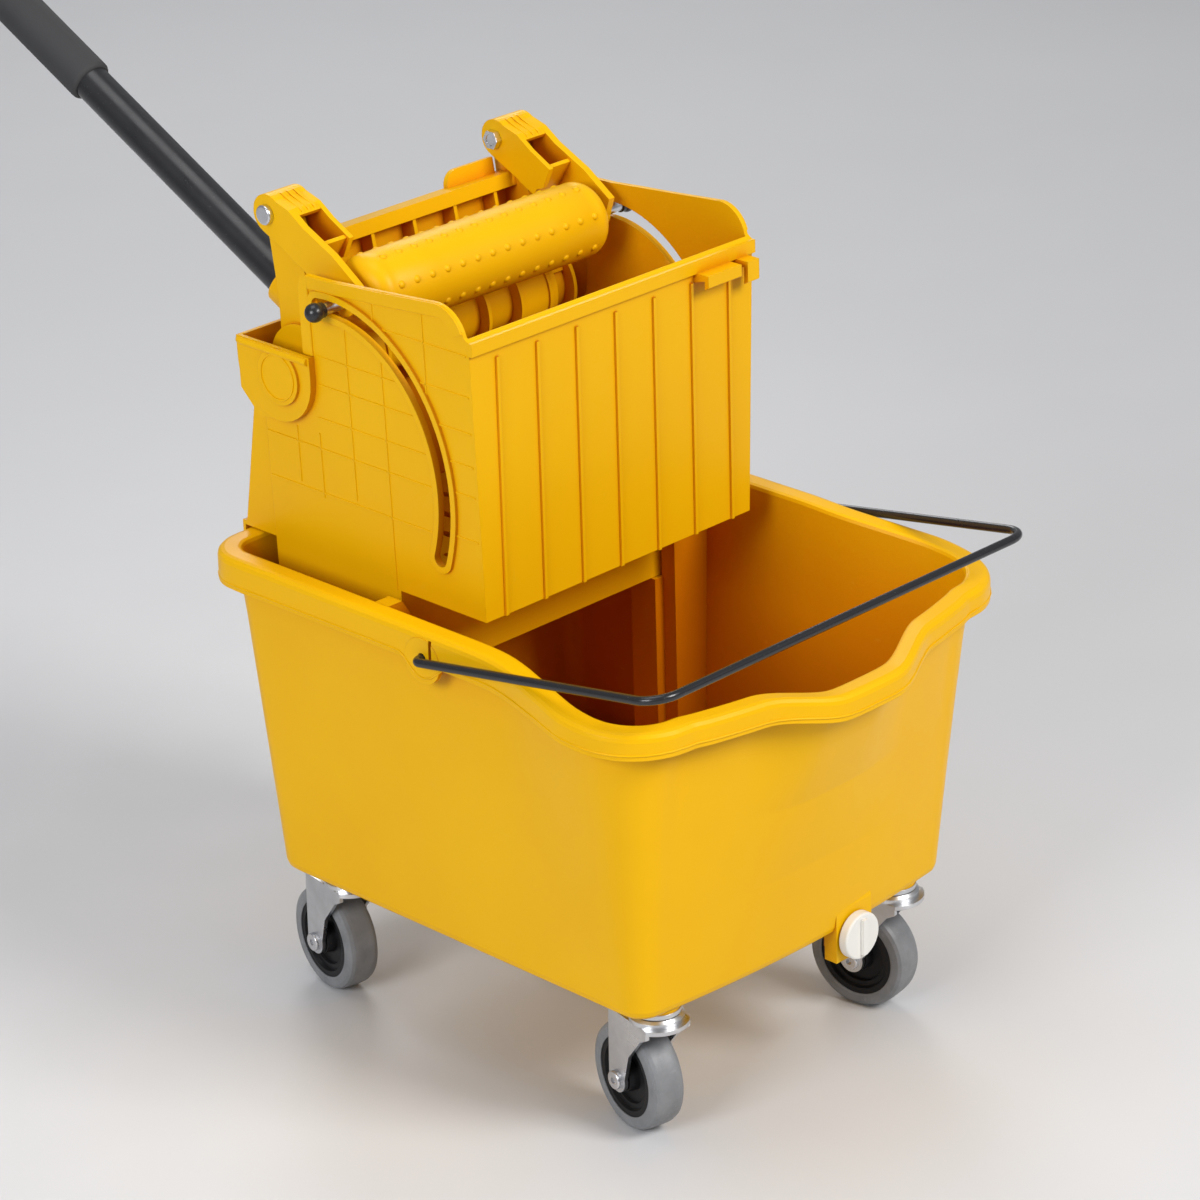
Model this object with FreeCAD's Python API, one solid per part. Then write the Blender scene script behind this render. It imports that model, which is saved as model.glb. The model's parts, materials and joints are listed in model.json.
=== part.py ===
import FreeCAD, Part
import math
import os

# Mop bucket on four swivel casters with a down-press roller wringer.
# Millimetres. +Z up, floor at z = 0, origin under the centre of the bucket rim.
# X is the width, Y the length: the pour spout and drain face -Y, the wringer lever +Y.

V = FreeCAD.Vector
X_AXIS = V(1, 0, 0)
Y_AXIS = V(0, 1, 0)
Z_AXIS = V(0, 0, 1)

# ---- bucket ----
FLOOR_Z = 100.0            # underside of the tub
RIM_Z = 334.0              # top of the rim at the back
RIM_FRONT_DROP = 15.0      # the rim falls this much towards the front corners
WALL = 4.0
BASE_HALF_X = 149.0
BASE_BACK_Y = 175.0
BASE_FRONT_Y = 173.0
TOP_HALF_X_BACK = 156.5    # wall under the lip, back half
TOP_HALF_X_FRONT = 173.0
TOP_BACK_Y = 200.5
TOP_FRONT_Y = 194.5
BASE_CORNER = 18.0
BACK_CORNER = 20.0
FRONT_CORNER = 40.0
BASE_BOW = 8.0             # bulge of the front wall, bottom and top
TOP_BOW = 20.0
SPOUT_REACH = 14.0
SPOUT_DIP = 8.0
SPOUT_HALF_IN = 22.0       # the spout is full inside this half width
SPOUT_HALF_OUT = 80.0      # and gone outside this one
FLARE_START_Y = -40.0      # the rim falls forward of this line
SIDE_FLARE_Y = -60.0       # and the sides flare out forward of this one
FRONT_LINE_Y = -207.5
LIP_REACH = 13.0
LIP_DROP_BACK = 22.0
LIP_DROP_FRONT = 17.0
LIP_SKIN = 3.0
LIP_ROUND = 5.0
RIM_INNER_ROUND = 3.0
FOOT_ROUND = 7.0
INNER_FOOT_ROUND = 7.0

# ---- bail ----
BAIL_Y = -4.0
BAIL_Z = 316.0
BAIL_WIRE_R = 3.0
BAIL_HALF_X = 177.0
BAIL_STUB_X = 161.0
BAIL_REACH = 218.0
BAIL_REST_DEG = 9.5
BAIL_CORNER = 18.0
BAIL_STUB_CORNER = 6.0
EAR_R = 16.0
EAR_HOLE_R = 3.6

# ---- inner columns that locate the wringer ----
COLUMN_FRONT_Y = 47.0
COLUMN_BACK_Y = 59.5
COLUMN_TOP_Z = 331.0
COLUMN_TOP_X = 138.0
COLUMN_LOW_X = 118.0
COLUMN_CHAMFER_Z = 300.0
SEAT_BACK_Y = 82.0
SEAT_X = 110.0

# ---- drain ----
DRAIN_X = 43.0
DRAIN_Z = 96.5
DRAIN_FACE_Y = -183.0
DRAIN_PAD_HALF = 17.5
DRAIN_PAD_Z = (80.0, 127.0)
SUMP_HALF = 11.0
DRAIN_BORE_R = 8.2
PLUG_CAP_R = 16.5
PLUG_CAP_T = 6.5
PLUG_SPIGOT_R = 7.8
PLUG_SPIGOT_L = 14.0
GASKET_R = 13.5
GASKET_T = 1.5

# ---- casters ----
CASTER_X = 116.0
CASTER_FRONT_Y = -153.0
CASTER_BACK_Y = 138.0
CASTER_TRAIL = 22.0
WHEEL_R = 37.5
WHEEL_HALF_W = 12.0
HUB_R = 28.0
AXLE_R = 4.0
RUN_GAP = 0.05
BOSS_R = 16.0
BOSS_BOTTOM_Z = 97.0
BOSS_TOP_Z = 122.0
CROWN_Z = (85.0, 88.0)
CROWN_R = 22.0
FORK_IN_X = 14.5
FORK_T = 3.0
RACE_R = 18.5
RACE_H = 5.2
PIN_R = 5.5
# name, swivel x, swivel y, resting heading in degrees about +Z
CASTERS = (
    ("front_left", -CASTER_X, CASTER_FRONT_Y, -12.0),
    ("back_left", -CASTER_X, CASTER_BACK_Y, -10.0),
    ("front_right", CASTER_X, CASTER_FRONT_Y, 9.0),
    ("back_right", CASTER_X, CASTER_BACK_Y, 4.0),
)

# ---- wringer shell ----
SHELL_TOP_HALF_X = 131.1
SHELL_TOP_Z = 522.5
SHELL_LOW_HALF_X = 124.9
SHELL_LOW_Z = 329.6
SHELL_WALL = 3.0
SHELL_FRONT_Y = -18.2
SHELL_STEP_Y = 61.8
SHELL_BACK_Y = 183.0
SHELL_FOOT_Z = 262.0
SHELL_FOOT_BACK_Y = 176.0    # the foot narrows to stay clear of the leaning tub wall
SHELL_TAPER_Z = 306.0
POCKET_BACK_Y = 200.5
POCKET_RIM_Z = 478.0
POCKET_FRONT_Y = 129.5
POCKET_FLOOR_Z = 425.5
POCKET_OUT = 5.0
BOSS_DISC_R = 19.5           # raised disc round the shaft end, and its bearing inside
BEARING_R = 11.0
LEDGE_T = 3.0
LEDGE_W = 5.0
SLOT_HALF = 5.5
SLOT_FLANGE = 4.5
FLANGE_OUT = 2.2
RIB_PITCH = 35.7
RIB_W = 2.4
RIB_PROUD = 1.6
HOOK_HALF_X = 124.0
HOOK_LEDGE_Z = 335.0
HOOK_BACK_Y = 218.0
HOOK_TIP_Z = 316.0
CLIP_TOP_Z = 514.0
CLIP_T = 3.5
SIEVE_T = 3.0

# ---- press linkage, seen along X: (y, z) ----
PIVOT = (160.0, 458.0)
BOLT = (181.0, 561.3)
ROD = (110.5, 516.6)
PRESS_DEG = 110.0
LINK_RATIO = -0.72
SHAFT_R = 5.0
BARREL_R = 30.0
BARREL_CORE_R = 21.0
BARREL_PITCH = 31.0
ARM_X = (96.0, 111.0)
EAR_PLATE_X = (44.0, 89.0)   # rounded ear on the cross beam, +X side
EAR_PLATE_ROUND = 11.0
ARM_HEAD_R = 11.0
LINK_HEAD_R = 13.0
LINK_OUT_X = (113.0, 118.5)
LINK_IN_X = (90.0, 94.0)
ROD_R = 4.0
ROD_HALF_X = 146.0
BALL_R = 6.5
BALL_X = 144.0
BOLT_R = 4.0
ROLLER_R = 26.3
ROLLER_HALF_X = 107.0
ROLLER_DOME = 12.0

# ---- lever ----
LEVER_X = -85.0
LEVER_YZ = (214.9, 507.5)
LEVER_DEG = 27.6
TUBE_R = 12.7
TUBE_WALL = 1.6
TUBE_IN = 42.0             # buried length, back from LEVER_YZ
GRIP_START = 202.0
GRIP_LENGTH = 300.0
GRIP_R = 15.5
GRIP_ROUND = 3.5
TUBE_IN_GRIP = 40.0
SOCKET_R = 16.5


# ---------------------------------------------------------------- helpers
def box(x0, x1, y0, y1, z0, z1):
    return Part.makeBox(x1 - x0, y1 - y0, z1 - z0, V(x0, y0, z0))


def cyl_x(y, z, r, x0, x1):
    return Part.makeCylinder(r, x1 - x0, V(x0, y, z), X_AXIS)


def cyl_y(x, z, r, y0, y1):
    return Part.makeCylinder(r, y1 - y0, V(x, y0, z), Y_AXIS)


def cyl_z(x, y, r, z0, z1):
    return Part.makeCylinder(r, z1 - z0, V(x, y, z0), Z_AXIS)


def prism_x(points, x0, x1):
    """Solid with a (y, z) outline, between two x planes."""
    corners = [V(x0, y, z) for y, z in points]
    face = Part.Face(Part.makePolygon(corners + corners[:1]))
    return face.extrude(V(x1 - x0, 0, 0))


def prism_y(points, y0, y1):
    """Solid with an (x, z) outline, between two y planes."""
    corners = [V(x, y0, z) for x, z in points]
    face = Part.Face(Part.makePolygon(corners + corners[:1]))
    return face.extrude(V(0, y1 - y0, 0))


def prism_z(points, z0, z1):
    """Solid with an (x, y) outline, between two z planes."""
    corners = [V(x, y, z0) for x, y in points]
    face = Part.Face(Part.makePolygon(corners + corners[:1]))
    return face.extrude(V(0, 0, z1 - z0))


def mirror_x(shape):
    return shape.mirror(V(0, 0, 0), X_AXIS)


def both_sides(shape):
    return [shape, mirror_x(shape)]


def smooth(t):
    t = max(0.0, min(1.0, t))
    return t * t * (3.0 - 2.0 * t)


def mix(a, b, t):
    return a + (b - a) * t


def turn(v, degrees):
    a = math.radians(degrees)
    return (v[0] * math.cos(a) - v[1] * math.sin(a), v[0] * math.sin(a) + v[1] * math.cos(a))


def save(name, shape):
    shape.exportStep("parts/" + name + ".step")


# ---------------------------------------------------------------- bucket
def flare(y):
    """0 along the straight back half of the rim, 1 at the front corners."""
    return smooth((FLARE_START_Y - y) / (FLARE_START_Y - FRONT_LINE_Y))


def spout(x):
    return 1.0 - smooth((abs(x) - SPOUT_HALF_IN) / (SPOUT_HALF_OUT - SPOUT_HALF_IN))


def rim_height(x, y):
    dip = SPOUT_DIP * spout(x) if y < FRONT_LINE_Y * 0.8 else 0.0
    return RIM_Z - RIM_FRONT_DROP * flare(y) - dip


def half_outline(level, offset):
    """Points of the +X half of the tub outline, from the back centre to the front centre."""
    back_x = mix(BASE_HALF_X, TOP_HALF_X_BACK, level) + offset
    front_x = mix(BASE_HALF_X, TOP_HALF_X_FRONT, level) + offset
    back_y = mix(BASE_BACK_Y, TOP_BACK_Y, level) + offset
    front_y = mix(BASE_FRONT_Y, TOP_FRONT_Y, level) + offset
    back_r = mix(BASE_CORNER, BACK_CORNER, level) + offset
    front_r = mix(BASE_CORNER, FRONT_CORNER, level) + offset
    bow = mix(BASE_BOW, TOP_BOW, level)
    lip = SPOUT_REACH * smooth((level - 0.35) / 0.65)
    points = []
    for i in range(4):
        points.append((i / 4.0 * (back_x - back_r), back_y))
    for i in range(8):
        a = math.radians(90.0 - 90.0 * i / 8.0)
        points.append((back_x - back_r + back_r * math.cos(a), back_y - back_r + back_r * math.sin(a)))
    side_from = back_y - back_r
    side_to = -(front_y - front_r)
    for i in range(12):
        y = mix(side_from, side_to, i / 12.0)
        grow = smooth((SIDE_FLARE_Y - y) / (SIDE_FLARE_Y - side_to))
        points.append((mix(back_x, front_x, grow), y))
    for i in range(8):
        a = math.radians(-90.0 * i / 8.0)
        points.append((front_x - front_r + front_r * math.cos(a), side_to + front_r * math.sin(a)))
    edge_x = front_x - front_r
    for i in range(14):
        x = edge_x * (1.0 - i / 14.0)
        points.append((x, -front_y - bow * (1.0 - (x / edge_x) ** 2) - lip * spout(x)))
    points.append((0.0, -front_y - bow - lip))
    return points


def whole_outline(level, offset):
    half = half_outline(level, offset)
    return half + [(-x, y) for x, y in reversed(half[1:-1])]


def ring_parameters():
    """Distances round one reference outline, shared by every ring so that the rings match point to point."""
    reference = whole_outline(0.5, 0.0)
    total = 0.0
    parameters = [total]
    for i, point in enumerate(reference):
        total += math.dist(point, reference[(i + 1) % len(reference)])
        parameters.append(total)
    return parameters


def ring(level, offset, z=None, below_rim=None):
    """Closed curve round the tub, flat at height z, or a stated depth below the rim."""
    points = []
    for x, y in whole_outline(level, offset):
        if below_rim is None:
            follow = smooth((level - 0.35) / 0.65)
            points.append(V(x, y, z + follow * (rim_height(x, y) - RIM_Z)))
        else:
            drop = below_rim(y) if callable(below_rim) else below_rim
            points.append(V(x, y, rim_height(x, y) - drop))
    curve = Part.BSplineCurve()
    curve.interpolate(Points=points, PeriodicFlag=True, Parameters=ring_parameters())
    return Part.Wire([curve.toShape()])


def level_at(z):
    return (z - FLOOR_Z) / (RIM_Z - FLOOR_Z)


def skirt_drop(y):
    return mix(LIP_DROP_BACK, LIP_DROP_FRONT, flare(y))


def foot_rings():
    """Outer rings of the rounded foot and the lower wall, all flat."""
    rings = []
    for degrees in (0, 30, 60, 90):
        a = math.radians(degrees)
        z = FLOOR_Z + FOOT_ROUND * (1.0 - math.cos(a))
        rings.append(ring(level_at(z), FOOT_ROUND * (math.sin(a) - 1.0), z))
    rings.append(ring(level_at(170.0), 0.0, 170.0))
    return rings


def tub_rings():
    rings = foot_rings()
    for z in (230.0, 285.0):
        rings.append(ring(level_at(z), 0.0, z))
    under = LIP_ROUND
    rings.append(ring(1.0, 0.0, below_rim=under + 4.0))
    rings.append(ring(1.0, 3.0, below_rim=under))
    rings.append(ring(1.0, LIP_REACH - LIP_SKIN, below_rim=under))
    rings.append(ring(1.0, LIP_REACH - LIP_SKIN, below_rim=skirt_drop))
    rings.append(ring(1.0, LIP_REACH, below_rim=skirt_drop))
    for degrees in (0, 30, 60, 90):
        a = math.radians(degrees)
        offset = LIP_REACH - LIP_ROUND * (1.0 - math.cos(a))
        rings.append(ring(1.0, offset, below_rim=LIP_ROUND * (1.0 - math.sin(a))))
    for degrees in (0, 45, 90):
        a = math.radians(degrees)
        offset = -WALL + RIM_INNER_ROUND * (1.0 - math.sin(a))
        rings.append(ring(1.0, offset, below_rim=RIM_INNER_ROUND * (1.0 - math.cos(a))))
    for z in (285.0, 230.0, 170.0):
        rings.append(ring(level_at(z), -WALL, z))
    inner_floor = FLOOR_Z + WALL
    for degrees in (90, 60, 30, 0):
        a = math.radians(degrees)
        z = inner_floor + INNER_FOOT_ROUND * (1.0 - math.cos(a))
        rings.append(ring(level_at(z), -WALL + INNER_FOOT_ROUND * (math.sin(a) - 1.0), z))
    return rings


def wall_x(z):
    return mix(BASE_HALF_X, TOP_HALF_X_BACK, level_at(z))


def column():
    """Locating column on one long wall, with the seat that carries the wringer's foot."""
    bury = WALL * 0.5
    outline = [
        (wall_x(COLUMN_TOP_Z) - bury, COLUMN_TOP_Z),
        (COLUMN_TOP_X, COLUMN_TOP_Z),
        (COLUMN_LOW_X, COLUMN_CHAMFER_Z),
        (COLUMN_LOW_X, FLOOR_Z + bury),
        (wall_x(FLOOR_Z + FOOT_ROUND) - FOOT_ROUND, FLOOR_Z + bury),
        (wall_x(FLOOR_Z + FOOT_ROUND) - bury, FLOOR_Z + FOOT_ROUND),
    ]
    plate = prism_y(outline, COLUMN_FRONT_Y, COLUMN_BACK_Y)
    seat_top = SHELL_FOOT_Z - 0.3
    seat_outline = [
        (wall_x(seat_top) - bury, seat_top),
        (SEAT_X, seat_top),
        (SEAT_X, FLOOR_Z + bury),
        (wall_x(FLOOR_Z + FOOT_ROUND) - FOOT_ROUND, FLOOR_Z + bury),
        (wall_x(FLOOR_Z + FOOT_ROUND) - bury, FLOOR_Z + FOOT_ROUND),
    ]
    seat = prism_y(seat_outline, COLUMN_BACK_Y - 1.0, SEAT_BACK_Y)
    return plate.fuse(seat)


def bucket_tub():
    rings = tub_rings()
    skin = Part.makeLoft(rings, False, True)
    faces = list(skin.Faces) + [Part.Face(rings[0]), Part.Face(rings[-1])]
    shell = Part.makeShell(faces)
    shell.sewShape()
    tub = Part.makeSolid(Part.Shell(shell.Faces))
    if tub.Volume < 0:
        tub.reverse()
    lip_x = TOP_HALF_X_BACK + LIP_REACH
    added = both_sides(column())
    added += both_sides(cyl_x(BAIL_Y, BAIL_Z - 2.0, EAR_R, lip_x - LIP_SKIN, lip_x + 0.4))
    pad_z0, pad_z1 = DRAIN_PAD_Z
    front_in_y = -(BASE_FRONT_Y + BASE_BOW - WALL)
    pad_back_y = DRAIN_FACE_Y + 10.5
    pad = [
        (DRAIN_FACE_Y, pad_z0),
        (DRAIN_FACE_Y, pad_z1 - 9.0),
        (DRAIN_FACE_Y + 2.5, pad_z1),
        (front_in_y - 2.0, pad_z1),
        (front_in_y - 2.0, FLOOR_Z + 2.0),
        (pad_back_y, FLOOR_Z + 2.0),
        (pad_back_y, pad_z0),
    ]
    added.append(prism_x(pad, DRAIN_X - DRAIN_PAD_HALF, DRAIN_X + DRAIN_PAD_HALF))
    added.append(box(DRAIN_X - SUMP_HALF, DRAIN_X + SUMP_HALF, pad_back_y - 1.0, front_in_y + 11.0,
                     pad_z0 + 5.0, FLOOR_Z + 2.0))
    envelope = Part.makeLoft(foot_rings(), True, True)
    for _, x, y, _ in CASTERS:
        added.append(cyl_z(x, y, BOSS_R, BOSS_BOTTOM_Z, FLOOR_Z + 1.0))
        added.append(cyl_z(x, y, BOSS_R, FLOOR_Z, BOSS_TOP_Z).common(envelope))
    tub = tub.fuse(added)
    cuts = both_sides(cyl_x(BAIL_Y, BAIL_Z, EAR_HOLE_R, lip_x - 6.0, lip_x + 6.0))
    cuts += both_sides(box(lip_x - 4.0, lip_x + 4.0, BAIL_Y - 9.0, BAIL_Y - 6.5, BAIL_Z + 1.0, RIM_Z - 4.0))
    cuts.append(cyl_y(DRAIN_X, DRAIN_Z, DRAIN_BORE_R, DRAIN_FACE_Y - 5.0, front_in_y + 8.5))
    sump = DRAIN_BORE_R - 1.0
    cuts.append(box(DRAIN_X - sump, DRAIN_X + sump, front_in_y + 2.0, front_in_y + 8.5,
                    DRAIN_Z, FLOOR_Z + WALL + 6.0))
    for _, x, y, _ in CASTERS:
        cuts.append(cyl_z(x, y, PIN_R, BOSS_BOTTOM_Z - 1.0, BOSS_BOTTOM_Z + 20.0))
    return tub.cut(cuts).removeSplitter()


def bail_wire():
    """One bent wire, drawn flat and then leaned to its rest angle."""
    route = [
        (BAIL_STUB_X, 0.0),
        (BAIL_HALF_X, 0.0),
        (BAIL_HALF_X, BAIL_REACH),
        (-BAIL_HALF_X, BAIL_REACH),
        (-BAIL_HALF_X, 0.0),
        (-BAIL_STUB_X, 0.0),
    ]
    radii = [BAIL_STUB_CORNER, BAIL_CORNER, BAIL_CORNER, BAIL_STUB_CORNER]
    points = [V(x, -s, 0) for x, s in route]
    edges = []
    start = points[0]
    for i, r in enumerate(radii):
        corner = points[i + 1]
        to_prev = (points[i] - corner).normalize()
        to_next = (points[i + 2] - corner).normalize()
        first = corner + to_prev * r
        last = corner + to_next * r
        middle = corner + (to_prev + to_next) * (r * (1.0 - math.sqrt(0.5)))
        edges.append(Part.LineSegment(start, first).toShape())
        edges.append(Part.Arc(first, middle, last).toShape())
        start = last
    edges.append(Part.LineSegment(start, points[-1]).toShape())
    path = Part.Wire(edges)
    profile = Part.Wire([Part.Circle(points[0], X_AXIS, BAIL_WIRE_R).toShape()])
    wire = path.makePipeShell([profile], True, False)
    wire.rotate(V(0, 0, 0), X_AXIS, -BAIL_REST_DEG)
    wire.translate(V(0, BAIL_Y, BAIL_Z))
    return wire


def drain_plug():
    cap_y = DRAIN_FACE_Y - GASKET_T
    cap = cyl_y(DRAIN_X, DRAIN_Z, PLUG_CAP_R, cap_y - PLUG_CAP_T, cap_y)
    outer = [e for e in cap.Edges if abs(e.CenterOfMass.y - (cap_y - PLUG_CAP_T)) < 0.1]
    cap = cap.makeFillet(1.6, outer)
    spigot = cyl_y(DRAIN_X, DRAIN_Z, PLUG_SPIGOT_R, cap_y - 1.0, cap_y - 1.0 + PLUG_SPIGOT_L)
    hollow = cyl_y(DRAIN_X, DRAIN_Z, PLUG_SPIGOT_R - 2.5, cap_y + 3.0, cap_y + PLUG_SPIGOT_L)
    bar = box(DRAIN_X - 2.2, DRAIN_X + 2.2, cap_y - PLUG_CAP_T - 2.5, cap_y - PLUG_CAP_T + 1.0,
              DRAIN_Z - PLUG_CAP_R + 3.5, DRAIN_Z + PLUG_CAP_R - 3.5)
    return cap.fuse([spigot, bar]).cut(hollow)


def drain_gasket():
    y0 = DRAIN_FACE_Y - GASKET_T
    ring_body = cyl_y(DRAIN_X, DRAIN_Z, GASKET_R, y0, DRAIN_FACE_Y)
    return ring_body.cut(cyl_y(DRAIN_X, DRAIN_Z, DRAIN_BORE_R, y0 - 1.0, DRAIN_FACE_Y + 1.0))


# ---------------------------------------------------------------- casters
# Each caster is drawn with its swivel axis on Z and its wheel trailing along +Y.
def caster_stem():
    upper_race = cyl_z(0, 0, RACE_R - 2.0, CROWN_Z[1] + RACE_H + 0.6, BOSS_BOTTOM_Z)
    shank = cyl_z(0, 0, PIN_R, CROWN_Z[0] - 1.0, BOSS_BOTTOM_Z + 18.0)
    head = cyl_z(0, 0, PIN_R + 2.5, CROWN_Z[0] - 3.2, CROWN_Z[0] - 0.4)
    return upper_race.fuse([shank, head])


def caster_race():
    """Pressed ring that turns on the kingpin and covers the ball race."""
    z0 = CROWN_Z[1]
    z1 = z0 + RACE_H
    bevel = 2.0
    cup = cyl_z(0, 0, RACE_R, z0, z1 - bevel)
    cone = Part.makeCone(RACE_R, RACE_R - bevel, bevel, V(0, 0, z1 - bevel), Z_AXIS)
    return cup.fuse(cone).cut(cyl_z(0, 0, PIN_R + RUN_GAP, z0 - 1.0, z1 + 1.0))


def caster_fork():
    """Crown plate with two arms bent down to the axle."""
    low_z, top_z = CROWN_Z
    out_x = FORK_IN_X + FORK_T
    crown = cyl_z(0, 0, CROWN_R, low_z, top_z)
    crown = crown.fuse(box(-out_x, out_x, -8.0, CASTER_TRAIL + 4.0, low_z, top_z))
    crown = crown.common(box(-out_x, out_x, -40.0, 60.0, low_z, top_z))
    arm = [
        (-13.0, top_z),
        (CASTER_TRAIL + 8.0, top_z),
        (CASTER_TRAIL + 9.0, WHEEL_R),
        (CASTER_TRAIL - 7.5, WHEEL_R - 2.0),
        (CASTER_TRAIL - 14.0, WHEEL_R + 22.0),
        (-6.0, low_z - 8.0),
        (-13.0, low_z - 4.0),
    ]
    arms = both_sides(prism_x(arm, FORK_IN_X, out_x))
    arms += both_sides(cyl_x(CASTER_TRAIL, WHEEL_R, 9.0, FORK_IN_X, out_x))
    fork = crown.fuse(arms)
    bores = [
        cyl_z(0, 0, PIN_R + RUN_GAP, low_z - 1.0, top_z + 1.0),
        cyl_x(CASTER_TRAIL, WHEEL_R, AXLE_R, -30.0, 30.0),
    ]
    return fork.cut(bores).removeSplitter()


def hexagon_x(y, z, across_flats, x0, x1):
    r = across_flats / math.sqrt(3.0)
    points = []
    for i in range(6):
        a = math.radians(60.0 * i)
        points.append((y + r * math.cos(a), z + r * math.sin(a)))
    return prism_x(points, x0, x1)


def caster_axle():
    """Axle bolt with a round head and a hexagon nut."""
    out_x = FORK_IN_X + FORK_T
    shank = cyl_x(CASTER_TRAIL, WHEEL_R, AXLE_R, -out_x - 1.0, out_x + 5.5)
    head = cyl_x(CASTER_TRAIL, WHEEL_R, 6.5, -out_x - 3.2, -out_x)
    rim = [e for e in head.Edges if abs(e.CenterOfMass.x - (-out_x - 3.2)) < 0.1]
    head = head.makeFillet(1.2, rim)
    socket = hexagon_x(CASTER_TRAIL, WHEEL_R, 4.0, -out_x - 4.0, -out_x - 1.4)
    bolt = shank.fuse(head).cut(socket)
    nut = hexagon_x(CASTER_TRAIL, WHEEL_R, 12.0, out_x, out_x + 4.5)
    nut = nut.cut(cyl_x(CASTER_TRAIL, WHEEL_R, AXLE_R, out_x - 1.0, out_x + 6.0))
    return Part.makeCompound([bolt, nut])


def wheel_profile(points):
    """Solid of revolution about the axle; points are (x, radius)."""
    corners = [V(x, CASTER_TRAIL, WHEEL_R + r) for x, r in points]
    face = Part.Face(Part.makePolygon(corners + corners[:1]))
    return face.revolve(V(0, CASTER_TRAIL, WHEEL_R), X_AXIS, 360)


def caster_hub():
    """Moulded hub: centre boss, dished web and rim, open on both faces."""
    half = [
        (WHEEL_HALF_W + 1.2, AXLE_R + RUN_GAP),
        (WHEEL_HALF_W + 1.2, 9.5),
        (WHEEL_HALF_W - 2.0, 10.5),
        (WHEEL_HALF_W - 6.0, 11.0),
        (WHEEL_HALF_W - 6.0, 19.0),
        (WHEEL_HALF_W - 3.5, 19.5),
        (WHEEL_HALF_W - 3.5, 23.0),
        (WHEEL_HALF_W - 1.0, 24.0),
        (WHEEL_HALF_W - 1.0, HUB_R),
    ]
    return wheel_profile(half + [(-x, r) for x, r in reversed(half)])


def caster_tyre():
    half = [
        (WHEEL_HALF_W - 0.4, HUB_R),
        (WHEEL_HALF_W, HUB_R + 1.5),
        (WHEEL_HALF_W - 0.3, WHEEL_R - 3.5),
        (WHEEL_HALF_W - 1.6, WHEEL_R - 1.2),
        (WHEEL_HALF_W - 4.0, WHEEL_R - 0.25),
        (WHEEL_HALF_W - 6.5, WHEEL_R),
    ]
    return wheel_profile(half + [(-x, r) for x, r in reversed(half)])


def place_caster(shape, x, y, heading):
    shape = shape.copy()
    shape.rotate(V(0, 0, 0), Z_AXIS, heading)
    shape.translate(V(x, y, 0))
    return shape


# ---------------------------------------------------------------- wringer shell
def shell_x(z):
    """Outer half width of the wringer shell at height z."""
    t = (z - SHELL_LOW_Z) / (SHELL_TOP_Z - SHELL_LOW_Z)
    return mix(SHELL_LOW_HALF_X, SHELL_TOP_HALF_X, t)


def draft(offset):
    """Everything between the two side faces, moved out by offset."""
    z0 = SHELL_FOOT_Z - 40.0
    z1 = SHELL_TOP_Z + 60.0
    points = [(-shell_x(z0) - offset, z0), (shell_x(z0) + offset, z0),
              (shell_x(z1) + offset, z1), (-shell_x(z1) - offset, z1)]
    return prism_y(points, -80.0, 280.0)


def rod_at(degrees):
    """Guide rod centre (y, z) when the lever has turned by degrees."""
    arm = turn((BOLT[0] - PIVOT[0], BOLT[1] - PIVOT[1]), degrees)
    link = turn((ROD[0] - BOLT[0], ROD[1] - BOLT[1]), degrees * (1.0 + LINK_RATIO))
    return (PIVOT[0] + arm[0] + link[0], PIVOT[1] + arm[1] + link[1])


def slot_prism(half, over, x0, x1):
    """Curved slot that follows the guide rod, widened by half and extended by over degrees."""
    steps = 16
    track = [rod_at(mix(-over, PRESS_DEG + over * 0.25, i / steps)) for i in range(steps + 1)]
    left, right = [], []
    for i, (y, z) in enumerate(track):
        a = track[max(i - 1, 0)]
        b = track[min(i + 1, steps)]
        length = math.hypot(b[0] - a[0], b[1] - a[1])
        ny, nz = -(b[1] - a[1]) / length, (b[0] - a[0]) / length
        left.append(V(x0, y + ny * half, z + nz * half))
        right.append(V(x0, y - ny * half, z - nz * half))
    sides = []
    for points in (left, right):
        curve = Part.BSplineCurve()
        curve.interpolate(points)
        sides.append(curve)

    def cap(end, before):
        length = math.hypot(end[0] - before[0], end[1] - before[1])
        return V(x0, end[0] + (end[0] - before[0]) / length * half,
                 end[1] + (end[1] - before[1]) / length * half)

    edges = [
        sides[0].toShape(),
        Part.Arc(left[-1], cap(track[-1], track[-2]), right[-1]).toShape(),
        sides[1].toShape(),
        Part.Arc(right[0], cap(track[0], track[1]), left[0]).toShape(),
    ]
    face = Part.Face(Part.Wire(Part.__sortEdges__(edges)))
    return face.extrude(V(x1 - x0, 0, 0))


def arc_points(cy, cz, r, start, end, count):
    points = []
    for i in range(count + 1):
        a = math.radians(mix(start, end, i / count))
        points.append((cy + r * math.cos(a), cz + r * math.sin(a)))
    return points


def side_outline():
    """Outer (y, z) outline of the shell, clockwise from the front foot."""
    points = [(SHELL_FRONT_Y, SHELL_LOW_Z), (SHELL_FRONT_Y, SHELL_TOP_Z)]
    points += arc_points(9.5, 519.0, 24.5, 166.0, 92.0, 8)
    points += [(61.0, 539.0), (108.0, 535.2)]
    points += arc_points(129.0, 524.5, 10.0, 88.0, 0.0, 6)
    points += arc_points(144.0, 484.0, 6.0, 180.0, 270.0, 4)
    points += [(POCKET_BACK_Y, POCKET_RIM_Z), (POCKET_BACK_Y, 441.0), (SHELL_BACK_Y, 424.0)]
    points += [(SHELL_BACK_Y, SHELL_TAPER_Z), (SHELL_FOOT_BACK_Y, SHELL_FOOT_Z)]
    points += [(SHELL_STEP_Y, SHELL_FOOT_Z), (SHELL_STEP_Y, SHELL_LOW_Z)]
    return points


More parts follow.
